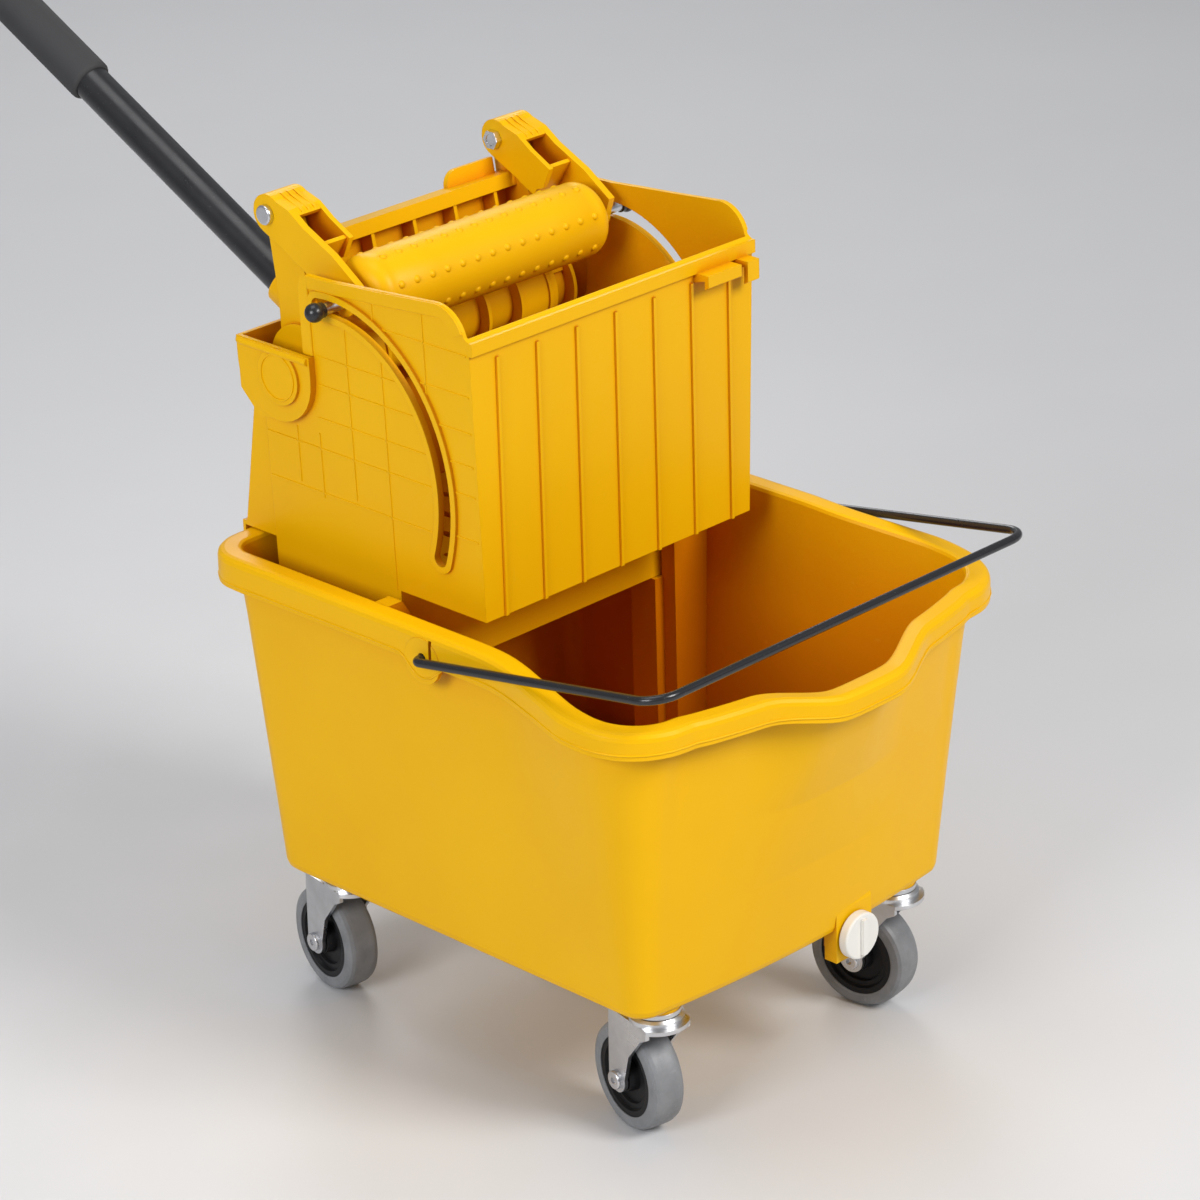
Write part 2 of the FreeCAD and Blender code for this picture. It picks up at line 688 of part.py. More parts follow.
def shell_cavity():
    front = SHELL_FRONT_Y + SHELL_WALL
    back = SHELL_BACK_Y - SHELL_WALL
    step = SHELL_STEP_Y + SHELL_WALL
    ledge_top = SHELL_LOW_Z + LEDGE_T
    high = SHELL_TOP_Z + 50.0
    chamber = [(front, high), (front, ledge_top), (back, ledge_top), (back, 425.5),
               (POCKET_BACK_Y - SHELL_WALL, 442.5), (POCKET_BACK_Y - SHELL_WALL, high)]
    lean = (SHELL_BACK_Y - SHELL_FOOT_BACK_Y) / (SHELL_TAPER_Z - SHELL_FOOT_Z)
    foot_z = SHELL_FOOT_Z - 5.0
    foot = [(step, foot_z), (step, SHELL_LOW_Z), (back, SHELL_LOW_Z), (back, SHELL_TAPER_Z),
            (back - lean * (SHELL_TAPER_Z - foot_z), foot_z)]
    inner = draft(-SHELL_WALL)
    body = prism_x(chamber, -150.0, 150.0).common(inner)
    low = prism_x(foot, -150.0, 150.0).common(inner)
    hole_x = shell_x(SHELL_LOW_Z) - SHELL_WALL - LEDGE_W
    hole = box(-hole_x, hole_x, front + LEDGE_W, back - LEDGE_W, SHELL_LOW_Z - 4.0, ledge_top + 1.0)
    return body.fuse([low, hole])


def pocket_outline(grow):
    """Rounded pocket at the top back corner of a side wall, as a (y, z) outline."""
    cy = (POCKET_FRONT_Y + POCKET_BACK_Y) / 2.0
    r = (POCKET_BACK_Y - POCKET_FRONT_Y) / 2.0 + grow
    cz = POCKET_FLOOR_Z + (POCKET_BACK_Y - POCKET_FRONT_Y) / 2.0
    return [(cy - r, POCKET_RIM_Z)] + arc_points(cy, cz, r, 180.0, 360.0, 16) + [(cy + r, POCKET_RIM_Z)]


def clip_hook(x0, x1, reach, drop):
    """Small J-shaped utensil clip on the front lip."""
    y = SHELL_FRONT_Y - RIB_PROUD
    top = CLIP_TOP_Z
    points = [(y + 2.0, top), (y - reach, top), (y - reach, top - drop),
              (y - reach + CLIP_T, top - drop - 2.0), (y - reach + CLIP_T, top - 4.0), (y + 2.0, top - 7.0)]
    return prism_x(points, x0, x1)


def wringer_shell():
    outer = prism_x(side_outline(), -150.0, 150.0).common(draft(0.0))
    outer = outer.fuse(prism_x(pocket_outline(0.0), -150.0, 150.0).common(draft(POCKET_OUT)))
    band = box(-SHELL_TOP_HALF_X, SHELL_TOP_HALF_X, SHELL_FRONT_Y - 2.8, SHELL_FRONT_Y + 1.0,
               SHELL_TOP_Z - 9.0, SHELL_TOP_Z)
    extras = [band]
    for i in range(-3, 4):
        x = i * RIB_PITCH
        extras.append(box(x - RIB_W / 2.0, x + RIB_W / 2.0, SHELL_FRONT_Y - RIB_PROUD, SHELL_FRONT_Y + 1.0,
                          SHELL_LOW_Z, SHELL_TOP_Z - 15.0))
    extras += [clip_hook(74.0, 106.0, 12.0, 8.0), clip_hook(112.0, 123.0, 12.0, 14.0)]
    extras += back_hook()
    extras += both_sides(cyl_x(PIVOT[0], PIVOT[1], BOSS_DISC_R, shell_x(PIVOT[1]) - SHELL_WALL,
                               shell_x(PIVOT[1]) + POCKET_OUT + 2.0))
    flange_zone = draft(FLANGE_OUT)
    for side in both_sides(slot_prism(SLOT_HALF + SLOT_FLANGE, 6.0, shell_x(SHELL_LOW_Z) - 6.0, 145.0)):
        extras.append(side.common(flange_zone))
    body = outer.fuse(extras)
    pocket_room = prism_x(pocket_outline(-SHELL_WALL) + [(POCKET_BACK_Y - SHELL_WALL, SHELL_TOP_Z + 40.0),
                                                        (POCKET_FRONT_Y + SHELL_WALL, SHELL_TOP_Z + 40.0)],
                          -150.0, 150.0).common(draft(POCKET_OUT - SHELL_WALL))
    keep = both_sides(cyl_x(PIVOT[0], PIVOT[1], BEARING_R, 120.0, shell_x(PIVOT[1]) + POCKET_OUT + 1.0))
    cavity = shell_cavity().fuse(pocket_room).cut(keep)
    body = body.cut(cavity)
    cuts = both_sides(slot_prism(SLOT_HALF, 6.0, shell_x(SHELL_LOW_Z) - 20.0, 150.0))
    cuts.append(cyl_x(PIVOT[0], PIVOT[1], SHAFT_R + 0.02, -131.0, 131.0))
    return body.cut(cuts).removeSplitter()


def back_hook():
    """Ledge, gussets and lip that hang the wringer on the back rim."""
    half = HOOK_HALF_X
    ledge = box(-half, half, SHELL_BACK_Y - 1.0, HOOK_BACK_Y, HOOK_LEDGE_Z, HOOK_LEDGE_Z + 3.0)
    lip = box(-half, half, HOOK_BACK_Y - 2.6, HOOK_BACK_Y, HOOK_TIP_Z, HOOK_LEDGE_Z + 3.0)
    parts = [ledge, lip]
    gusset = [(SHELL_BACK_Y - 1.0, HOOK_LEDGE_Z + 1.0), (HOOK_BACK_Y - 4.0, HOOK_LEDGE_Z + 1.0),
              (HOOK_BACK_Y - 6.0, HOOK_LEDGE_Z + 12.0), (POCKET_BACK_Y - 2.0, 428.0),
              (POCKET_BACK_Y - 2.0, 441.0), (SHELL_BACK_Y - 1.0, 423.0)]
    for i in range(-3, 4):
        x = i * (half - 1.5) / 3.0
        parts.append(prism_x(gusset, x - 1.5, x + 1.5))
    return parts


def wringer_sieve():
    """Perforated floor plate resting on the shell's inner ledge."""
    gap = 0.4
    z0 = SHELL_LOW_Z + LEDGE_T
    half = shell_x(z0) - SHELL_WALL - gap
    y0 = SHELL_FRONT_Y + SHELL_WALL + gap
    y1 = SHELL_BACK_Y - SHELL_WALL - gap
    plate = box(-half, half, y0, y1, z0, z0 + SIEVE_T)
    holes = []
    for column_index in range(-4, 5):
        for row in range(6):
            x = column_index * 24.0
            y = y0 + 20.0 + row * 30.0
            slot = box(x - 3.0, x + 3.0, y - 7.0, y + 7.0, z0 - 1.0, z0 + SIEVE_T + 1.0)
            holes.append(slot.fuse([cyl_z(x, y - 7.0, 3.0, z0 - 1.0, z0 + SIEVE_T + 1.0),
                                    cyl_z(x, y + 7.0, 3.0, z0 - 1.0, z0 + SIEVE_T + 1.0)]))
    return plate.cut(holes)


def pivot_shaft():
    return cyl_x(PIVOT[0], PIVOT[1], SHAFT_R, -130.5, 130.5)


# ---------------------------------------------------------------- rocker and lever
ARM_DIR = ((BOLT[0] - PIVOT[0]), (BOLT[1] - PIVOT[1]))
ARM_LENGTH = math.hypot(*ARM_DIR)
ALONG = (ARM_DIR[0] / ARM_LENGTH, ARM_DIR[1] / ARM_LENGTH)
AHEAD = (-ALONG[1], ALONG[0])


def arm_point(s, t):
    """(y, z) of a point s along the rocker arm from the pivot and t ahead of it."""
    return (PIVOT[0] + ALONG[0] * s + AHEAD[0] * t, PIVOT[1] + ALONG[1] * s + AHEAD[1] * t)


def arm_block(s0, s1, t0, t1, x0, x1):
    return prism_x([arm_point(s0, t0), arm_point(s1, t0), arm_point(s1, t1), arm_point(s0, t1)], x0, x1)


def lever_axis():
    a = math.radians(LEVER_DEG)
    return V(0, math.cos(a), math.sin(a))


def lever_cylinder(r, start, end):
    """Cylinder on the lever's axis between two distances from its reference point."""
    base = V(LEVER_X, LEVER_YZ[0], LEVER_YZ[1]) + lever_axis() * start
    return Part.makeCylinder(r, end - start, base, lever_axis())


def rocker_frame():
    """H-shaped frame: ribbed barrel on the shaft, two arms, a web and a cross beam."""
    barrel = cyl_x(PIVOT[0], PIVOT[1], BARREL_CORE_R, -ARM_X[1], ARM_X[1])
    added = []
    for i in range(-2, 3):
        added.append(cyl_x(PIVOT[0], PIVOT[1], BARREL_R, i * BARREL_PITCH - 1.5, i * BARREL_PITCH + 1.5))
    added += both_sides(cyl_x(PIVOT[0], PIVOT[1], BARREL_R - 1.5, 2 * BARREL_PITCH, ARM_X[0] + 1.0))
    for x in (ARM_X[0] - 8.0, ARM_X[1]):
        added += both_sides(cyl_x(PIVOT[0], PIVOT[1], BARREL_R, x, x + 3.0))
    arm = [(8.0, 22.0), (58.0, 19.0), (72.0, 16.0), (ARM_LENGTH - 4.0, 10.0), (ARM_LENGTH - 3.0, -10.5),
           (80.0, -11.5), (60.0, -12.5), (38.0, -15.0), (10.0, -20.0)]
    added += both_sides(prism_x([arm_point(s, t) for s, t in arm], *ARM_X))
    added += both_sides(cyl_x(BOLT[0], BOLT[1], ARM_HEAD_R, *ARM_X))
    added.append(arm_block(72.0, 82.0, -9.0, 7.0, -ARM_X[0], ARM_X[0]))
    added.append(arm_block(20.0, 74.0, -9.0, -6.0, -ARM_X[0], ARM_X[0]))
    for i in range(-2, 3):
        added.append(arm_block(20.0, 74.0, -8.0, 6.0, i * 38.0 - 1.5, i * 38.0 + 1.5))
    ear_top = 93.0
    ear = arm_block(78.0, ear_top, -9.0, -5.0, *EAR_PLATE_X)
    tip = V(EAR_PLATE_X[0], *arm_point(ear_top, -7.0))
    corner = [e for e in ear.Edges if e.CenterOfMass.distanceToPoint(tip) < 0.1]
    added.append(ear.makeFillet(EAR_PLATE_ROUND, corner))
    added.append(lever_cylinder(SOCKET_R, -TUBE_IN - 4.0, -14.0))
    frame = barrel.fuse(added)
    cuts = [cyl_x(PIVOT[0], PIVOT[1], SHAFT_R + RUN_GAP, -125.0, 125.0)]
    cuts += both_sides(cyl_x(BOLT[0], BOLT[1], BOLT_R, ARM_X[0] - 2.0, ARM_X[1] + 2.0))
    cuts.append(lever_cylinder(TUBE_R, -TUBE_IN, 60.0))
    cuts.append(screw_hole())
    return frame.cut(cuts).removeSplitter()


def screw_base(distance):
    """Point on the underside of the socket, distance along the lever's axis."""
    a = math.radians(LEVER_DEG)
    down = V(0, math.sin(a), -math.cos(a))
    return V(LEVER_X, LEVER_YZ[0], LEVER_YZ[1]) + lever_axis() * distance + down * (SOCKET_R + 1.5)


def screw_up():
    a = math.radians(LEVER_DEG)
    return V(0, -math.sin(a), math.cos(a))


def screw_hole():
    return Part.makeCylinder(2.5, 2 * SOCKET_R + 6.0, screw_base(-24.0), screw_up())


def lever_screw():
    """Cross bolt that holds the tube in its socket."""
    shank = Part.makeCylinder(2.5, 2 * SOCKET_R + 3.0, screw_base(-24.0), screw_up())
    head = Part.makeCylinder(5.0, 2.2, screw_base(-24.0) + screw_up() * (2 * SOCKET_R + 1.5), screw_up())
    return shank.fuse(head)


def lever_tube():
    end = GRIP_START + TUBE_IN_GRIP
    tube = lever_cylinder(TUBE_R, -TUBE_IN, end)
    bore = lever_cylinder(TUBE_R - TUBE_WALL, -TUBE_IN - 1.0, end + 1.0)
    return tube.cut([bore, screw_hole()])


def lever_grip():
    """Foam sleeve with a closed, rounded end."""
    end = GRIP_START + GRIP_LENGTH
    grip = lever_cylinder(GRIP_R, GRIP_START, end)
    rims = [e for e in grip.Edges if e.Curve.TypeId == "Part::GeomCircle"]
    grip = grip.makeFillet(GRIP_ROUND, rims)
    return grip.cut(lever_cylinder(TUBE_R, GRIP_START - 1.0, GRIP_START + TUBE_IN_GRIP))


# ---------------------------------------------------------------- links, rod and roller
LINK_VEC = (ROD[0] - BOLT[0], ROD[1] - BOLT[1])
LINK_LENGTH = math.hypot(*LINK_VEC)
LINK_ALONG = (LINK_VEC[0] / LINK_LENGTH, LINK_VEC[1] / LINK_LENGTH)
LINK_UP = (LINK_ALONG[1], -LINK_ALONG[0])


def link_point(s, t):
    """(y, z) of a point s along the link from its bolt and t above it."""
    return (BOLT[0] + LINK_ALONG[0] * s + LINK_UP[0] * t, BOLT[1] + LINK_ALONG[1] * s + LINK_UP[1] * t)


def link_plate(x0, x1, outline, tip, tip_r):
    """Flat link plate with round ends; outline is a list of (s, t) points."""
    plate = prism_x([link_point(s, t) for s, t in outline], x0, x1)
    end = link_point(tip, 0.0)
    return plate.fuse([cyl_x(BOLT[0], BOLT[1], LINK_HEAD_R, x0, x1), cyl_x(end[0], end[1], tip_r, x0, x1)])


def link():
    """Channel-section link of the +X side: full outer plate, short inner plate and a floor."""
    long_side = [(2.0, -13.0), (40.0, -8.5), (LINK_LENGTH, -10.0), (LINK_LENGTH + 9.0, 3.0),
                 (LINK_LENGTH + 5.0, 19.0), (60.0, 20.0), (30.0, 16.5), (14.0, 17.0), (0.0, 13.0)]
    short_side = [(2.0, -13.0), (44.0, -8.0), (52.0, 2.0), (50.0, 18.0), (30.0, 16.5), (14.0, 17.0),
                  (0.0, 13.0)]
    outer = link_plate(LINK_OUT_X[0], LINK_OUT_X[1], long_side, LINK_LENGTH, 10.0)
    inner = link_plate(LINK_IN_X[0], LINK_IN_X[1], short_side, 40.0, 6.0)
    web = [(32.0, -10.0), (48.0, -8.5), (48.0, -5.5), (32.0, -7.0)]
    end_rib = [(45.0, -8.5), (48.0, -8.5), (48.0, 16.5), (45.0, 16.5)]
    cover = [(0.0, 12.0), (14.0, 14.2), (20.0, 13.8), (20.0, 16.6), (14.0, 17.0), (0.0, 13.0)]
    across = [prism_x([link_point(s, t) for s, t in part], LINK_IN_X[0], LINK_OUT_X[1])
              for part in (web, end_rib, cover)]
    body = outer.fuse([inner] + across)
    cuts = [
        cyl_x(BOLT[0], BOLT[1], BOLT_R + RUN_GAP, LINK_IN_X[0] - 2.0, LINK_OUT_X[1] + 2.0),
        cyl_x(ROD[0], ROD[1], ROD_R, LINK_OUT_X[0] - 2.0, LINK_OUT_X[1] + 2.0),
    ]
    return body.cut(cuts).removeSplitter()


def link_bolt():
    """Pan-head bolt of the +X side with its nut inboard."""
    shank = cyl_x(BOLT[0], BOLT[1], BOLT_R, LINK_IN_X[0] - 4.5, LINK_OUT_X[1] + 2.0)
    head = cyl_x(BOLT[0], BOLT[1], 6.8, LINK_OUT_X[1] + 0.3, LINK_OUT_X[1] + 4.0)
    rim = [e for e in head.Edges if abs(e.CenterOfMass.x - (LINK_OUT_X[1] + 4.0)) < 0.1]
    return shank.fuse(head.makeFillet(1.4, rim))


def link_nut():
    nut = hexagon_x(BOLT[0], BOLT[1], 12.0, LINK_IN_X[0] - 5.0, LINK_IN_X[0] - 0.3)
    return nut.cut(cyl_x(BOLT[0], BOLT[1], BOLT_R, LINK_IN_X[0] - 6.0, LINK_IN_X[0] + 1.0))


def guide_rod():
    return cyl_x(ROD[0], ROD[1], ROD_R, -ROD_HALF_X, ROD_HALF_X)


def ball_cap():
    ball = Part.makeSphere(BALL_R, V(BALL_X, ROD[0], ROD[1]))
    collar = cyl_x(ROD[0], ROD[1], ROD_R + 1.2, BALL_X - 6.8, BALL_X)
    return ball.fuse(collar).cut(cyl_x(ROD[0], ROD[1], ROD_R, BALL_X - 12.0, ROD_HALF_X))


def press_roller():
    """Pressing roller with softly domed ends, free to turn on the guide rod."""
    roller = cyl_x(ROD[0], ROD[1], ROLLER_R, -ROLLER_HALF_X, ROLLER_HALF_X)
    ends = [e for e in roller.Edges if abs(e.CenterOfMass.x) > ROLLER_HALF_X - 1.0]
    roller = roller.makeFillet(ROLLER_DOME, ends)
    return roller.cut(cyl_x(ROD[0], ROD[1], ROD_R + RUN_GAP, -ROLLER_HALF_X - 1.0, ROLLER_HALF_X + 1.0))


# ---------------------------------------------------------------- write everything
def build():
    os.makedirs("parts", exist_ok=True)
    save("bucket_tub", bucket_tub())
    save("bail_wire", bail_wire())
    save("drain_plug", drain_plug())
    save("drain_gasket", drain_gasket())

    caster_pieces = {
        "stem": caster_stem(), "race": caster_race(), "fork": caster_fork(),
        "axle": caster_axle(), "hub": caster_hub(), "tyre": caster_tyre(),
    }
    for place, x, y, heading in CASTERS:
        for piece, shape in caster_pieces.items():
            save("caster_" + place + "_" + piece, place_caster(shape, x, y, heading))

    save("wringer_shell", wringer_shell())
    save("wringer_sieve", wringer_sieve())
    save("pivot_shaft", pivot_shaft())
    save("rocker_frame", rocker_frame())
    save("lever_tube", lever_tube())
    save("lever_grip", lever_grip())
    save("lever_screw", lever_screw())

    right_link = link()
    save("link_right", right_link)
    save("link_left", mirror_x(right_link))
    save("link_bolts", Part.makeCompound(both_sides(link_bolt())))
    save("link_nuts", Part.makeCompound(both_sides(link_nut())))
    save("guide_rod", guide_rod())
    save("rod_ball_caps", Part.makeCompound(both_sides(ball_cap())))
    save("press_roller", press_roller())


build()
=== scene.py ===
import json
import math

import bmesh
import bpy
from mathutils import Matrix, Vector
from mathutils.bvhtree import BVHTree


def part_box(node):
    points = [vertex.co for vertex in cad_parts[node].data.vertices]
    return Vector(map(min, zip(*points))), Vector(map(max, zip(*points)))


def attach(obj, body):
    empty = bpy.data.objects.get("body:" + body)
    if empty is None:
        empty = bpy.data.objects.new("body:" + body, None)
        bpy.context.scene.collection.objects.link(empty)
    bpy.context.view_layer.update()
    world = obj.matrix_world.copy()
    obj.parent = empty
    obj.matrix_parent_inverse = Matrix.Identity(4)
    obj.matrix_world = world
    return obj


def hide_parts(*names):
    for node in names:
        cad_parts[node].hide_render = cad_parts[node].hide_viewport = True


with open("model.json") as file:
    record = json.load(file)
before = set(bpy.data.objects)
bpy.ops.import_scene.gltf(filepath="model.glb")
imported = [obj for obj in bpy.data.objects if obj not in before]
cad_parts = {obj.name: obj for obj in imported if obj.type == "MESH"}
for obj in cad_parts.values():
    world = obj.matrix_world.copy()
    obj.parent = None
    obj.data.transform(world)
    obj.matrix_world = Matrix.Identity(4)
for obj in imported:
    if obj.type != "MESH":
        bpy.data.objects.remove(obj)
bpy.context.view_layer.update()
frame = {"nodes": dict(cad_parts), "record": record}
NODES = frame["nodes"]

# Metres, in the part's own frame: +Z up, spout towards -Y, lever towards +Y.
MM = 0.001
SIDES = (-1.0, 1.0)                        # left and right of the object


# ---------------------------------------------------------------- node helpers
BEVEL_SAMPLES = 4
PAINTED_SHADE_SAMPLES = 6
PAINTED_SHADE_REACH = 0.35                        # metres that the painted shade looks around for closing walls
PLASTIC_SPECULAR = 0.14


class Graph:
    """Small wrapper that adds shader nodes and joins them."""

    def __init__(self, name):
        self.material = bpy.data.materials.new(name)
        self.material.use_nodes = True
        self.tree = self.material.node_tree
        self.shader = self.tree.nodes["Principled BSDF"]

    def join(self, output, socket):
        self.tree.links.new(output, socket)

    def feed(self, socket, value):
        """Links a node's output to the socket, or sets the socket to a plain value."""
        if isinstance(value, bpy.types.NodeSocket):
            self.join(value, socket)
        else:
            socket.default_value = value

    def add(self, kind, **inputs):
        node = self.tree.nodes.new(kind)
        for key, value in inputs.items():
            self.feed(node.inputs[key], value)
        return node

    def noise(self, place, scale, detail=4.0, rough=0.55):
        node = self.add("ShaderNodeTexNoise", Vector=place, Scale=scale, Detail=detail, Roughness=rough)
        return node.outputs["Fac"]

    def ramp(self, value, low, high, start=0.0, end=1.0):
        node = self.add("ShaderNodeMapRange", Value=value)
        node.inputs["From Min"].default_value = low
        node.inputs["From Max"].default_value = high
        node.inputs["To Min"].default_value = start
        node.inputs["To Max"].default_value = end
        return node.outputs["Result"]

    def maths(self, operation, a, b):
        node = self.tree.nodes.new("ShaderNodeMath")
        node.operation = operation
        for socket, value in zip(node.inputs, (a, b)):
            self.feed(socket, value)
        return node.outputs[0]

    def blend(self, factor, a, b):
        node = self.tree.nodes.new("ShaderNodeMix")
        node.data_type = "RGBA"                # its sockets: 0 factor, 6 and 7 the colours, 2 the result
        for number, value in ((0, factor), (6, a), (7, b)):
            self.feed(node.inputs[number], value)
        return node.outputs[2]

    def bump(self, height, strength, distance, normal=None):
        node = self.add("ShaderNodeBump", Height=height, Strength=strength, Distance=distance)
        if normal is not None:
            self.join(normal, node.inputs["Normal"])
        return node.outputs["Normal"]

    def rounded(self, radius):
        node = self.tree.nodes.new("ShaderNodeBevel")
        node.samples = BEVEL_SAMPLES
        node.inputs["Radius"].default_value = radius
        return node.outputs["Normal"]

    def place(self, stretch=(1.0, 1.0, 1.0)):
        coords = self.tree.nodes.new("ShaderNodeTexCoord")
        mapping = self.add("ShaderNodeMapping", Vector=coords.outputs["Object"], Scale=stretch)
        return mapping.outputs["Vector"]


def rgba(colour):
    return (*colour, 1.0)


def plastic(name, colour, deep, rough, grain=0.12, edge=0.0006, painted_shade=None, scuffs=0.35):
    """Moulded plastic: soft colour drift, orange-peel skin, rubbed patches and fine scuffs.

    painted_shade is a painted shade colour, a deeper orange mixed in where the plastic is closed in by its
    own walls, standing in for the shade in hollows.
    """
    g = Graph(name)
    place = g.place()
    drift = g.noise(place, 7.0, 3.0)
    streaks = g.noise(g.place((1.0, 1.0, 0.12)), 60.0, 5.0, 0.65)
    scuff = g.ramp(g.noise(g.place((3.0, 0.5, 1.0)), 90.0, 8.0, 0.7), 0.64, 0.78)
    tone = g.blend(g.ramp(drift, 0.3, 0.7), rgba(deep), rgba(colour))
    # painted shade: an occlusion mask pulls the colour towards the deep orange where the object's own walls
    # close a point in
    if painted_shade:
        painted_shade_mask = g.add("ShaderNodeAmbientOcclusion", Distance=PAINTED_SHADE_REACH)
        painted_shade_mask.samples = PAINTED_SHADE_SAMPLES
        painted_shade_mask.only_local = True
        tone = g.blend(g.ramp(painted_shade_mask.outputs["AO"], 0.30, 0.85), rgba(painted_shade), tone)
    pale = [c + (1.0 - c) * 0.06 for c in colour]
    tone = g.blend(g.maths("MULTIPLY", scuff, scuffs), tone, rgba(pale))
    g.join(tone, g.shader.inputs["Base Color"])
    roughness = g.ramp(g.noise(place, 18.0, 5.0), 0.25, 0.75, rough - 0.06, rough + 0.07)
    roughness = g.maths("ADD", roughness, g.maths("MULTIPLY", g.ramp(streaks, 0.5, 0.8), 0.05))
    roughness = g.maths("ADD", roughness, g.maths("MULTIPLY", scuff, 0.12))
    g.join(roughness, g.shader.inputs["Roughness"])
    normal = g.bump(g.noise(place, 1400.0, 2.0), grain, 0.0001, g.rounded(edge))
    normal = g.bump(g.noise(place, 22.0, 2.0), 0.05, 0.0015, normal)
    normal = g.bump(scuff, 0.08, 0.0001, normal)
    g.join(normal, g.shader.inputs["Normal"])
    g.shader.inputs["Specular IOR Level"].default_value = PLASTIC_SPECULAR
    return g.material


def zinc(name, colour, rough):
    """Zinc-plated steel: cloudy spangle, fine brushing and faint dull spots."""
    g = Graph(name)
    place = g.place()
    cloud = g.noise(place, 45.0, 4.0)
    brush = g.noise(g.place((1.0, 1.0, 14.0)), 160.0, 5.0, 0.7)
    spots = g.ramp(g.noise(place, 130.0, 6.0, 0.7), 0.62, 0.74)
    dull = [c * 0.78 for c in colour]
    tone = g.blend(g.ramp(cloud, 0.3, 0.7), rgba(colour), rgba(dull))
    tone = g.blend(g.maths("MULTIPLY", spots, 0.3), tone, rgba([c * 0.55 for c in colour]))
    g.join(tone, g.shader.inputs["Base Color"])
    g.shader.inputs["Metallic"].default_value = 1.0
    wear = g.ramp(cloud, 0.3, 0.7, rough - 0.05, rough + 0.08)
    wear = g.maths("ADD", wear, g.maths("MULTIPLY", spots, 0.15))
    g.join(wear, g.shader.inputs["Roughness"])
    g.join(g.bump(brush, 0.12, 0.0001, g.rounded(0.0005)), g.shader.inputs["Normal"])
    return g.material


def gloss_black(name, rough):
    """Black lacquer on steel with small dust-like specks and soft waviness."""
    g = Graph(name)
    place = g.place()
    specks = g.ramp(g.noise(place, 700.0, 3.0), 0.66, 0.74)
    tone = g.blend(specks, rgba((0.016, 0.016, 0.018)), rgba((0.06, 0.06, 0.06)))
    g.join(tone, g.shader.inputs["Base Color"])
    wear = g.ramp(g.noise(place, 40.0, 5.0), 0.3, 0.7, rough - 0.04, rough + 0.07)
    g.join(wear, g.shader.inputs["Roughness"])
    g.join(g.bump(g.noise(place, 300.0, 3.0), 0.05, 0.0002, g.rounded(0.0004)), g.shader.inputs["Normal"])
    return g.material


def foam(name):
    """Dark closed-cell foam: fine pores and matted patches."""
    g = Graph(name)
    place = g.place()
    pores = g.noise(place, 1700.0, 3.0, 0.6)
    patches = g.noise(place, 16.0, 4.0)
    tone = g.blend(patches, rgba((0.020, 0.020, 0.021)), rgba((0.045, 0.045, 0.047)))
    g.join(tone, g.shader.inputs["Base Color"])
    g.join(g.ramp(patches, 0.3, 0.7, 0.62, 0.8), g.shader.inputs["Roughness"])
    g.join(g.bump(pores, 0.35, 0.0003, g.rounded(0.0008)), g.shader.inputs["Normal"])
    return g.material


def rubber(name, colour, rough):
    """Rubber with dusty, scraped patches."""
    g = Graph(name)
    place = g.place()
    patches = g.noise(place, 55.0, 6.0, 0.65)
    scrapes = g.ramp(g.noise(g.place((1.0, 4.0, 1.0)), 120.0, 7.0, 0.7), 0.58, 0.72)
    dark = [c * 0.72 for c in colour]
    tone = g.blend(g.ramp(patches, 0.3, 0.7), rgba(colour), rgba(dark))
    tone = g.blend(g.maths("MULTIPLY", scrapes, 0.35), tone, rgba([min(1.0, c * 1.5) for c in colour]))
    g.join(tone, g.shader.inputs["Base Color"])
    g.join(g.ramp(patches, 0.3, 0.7, rough - 0.06, rough + 0.08), g.shader.inputs["Roughness"])
    normal = g.bump(g.noise(place, 900.0, 4.0), 0.25, 0.0002, g.rounded(0.0006))
    g.join(g.bump(scrapes, 0.15, 0.0002, normal), g.shader.inputs["Normal"])
    return g.material


YELLOW = (0.84, 0.46, 0.0015)
YELLOW_DEEP = (0.81, 0.43, 0.0010)
# deep orange painted shade for the closed-in insides of the tub and wringer
PAINTED_SHADE_ORANGE = (0.60, 0.17, 0.0005)
MATERIALS = {
    "tub_plastic": plastic("tub_plastic", YELLOW, YELLOW_DEEP, 0.34, painted_shade=PAINTED_SHADE_ORANGE),
    "wringer_plastic": plastic("wringer_plastic", YELLOW, YELLOW_DEEP, 0.36, painted_shade=PAINTED_SHADE_ORANGE),
    "roller_plastic": plastic("roller_plastic", YELLOW, YELLOW_DEEP, 0.40, grain=0.18),
    "white_plastic": plastic("white_plastic", (0.80, 0.79, 0.75), (0.72, 0.71, 0.67), 0.42),
    "gasket_rubber": rubber("gasket_rubber", (0.03, 0.03, 0.03), 0.7),
    "bail_paint": gloss_black("bail_paint", 0.22),
    "lever_paint": gloss_black("lever_paint", 0.30),
    "cap_plastic": gloss_black("cap_plastic", 0.28),
    "grip_foam": foam("grip_foam"),
    "zinc_steel": zinc("zinc_steel", (0.72, 0.73, 0.75), 0.30),
    "bolt_steel": zinc("bolt_steel", (0.78, 0.78, 0.80), 0.24),
    "hub_plastic": plastic("hub_plastic", (0.018, 0.018, 0.019), (0.010, 0.010, 0.011), 0.36, scuffs=0.1),
    "tyre_rubber": rubber("tyre_rubber", (0.235, 0.24, 0.25), 0.5),
}
for row in frame["record"]["subparts"]:
    mesh = NODES[row["node"]].data
    mesh.materials.clear()
    mesh.materials.append(MATERIALS[row["material_slot"]])


# ---------------------------------------------------------------- added and replaced pieces
# Low relief is about a millimetre high, so its edges are rounded less than the moulding's.
RELIEF = plastic("wringer_plastic_relief", YELLOW, YELLOW_DEEP, 0.36, edge=0.00015)


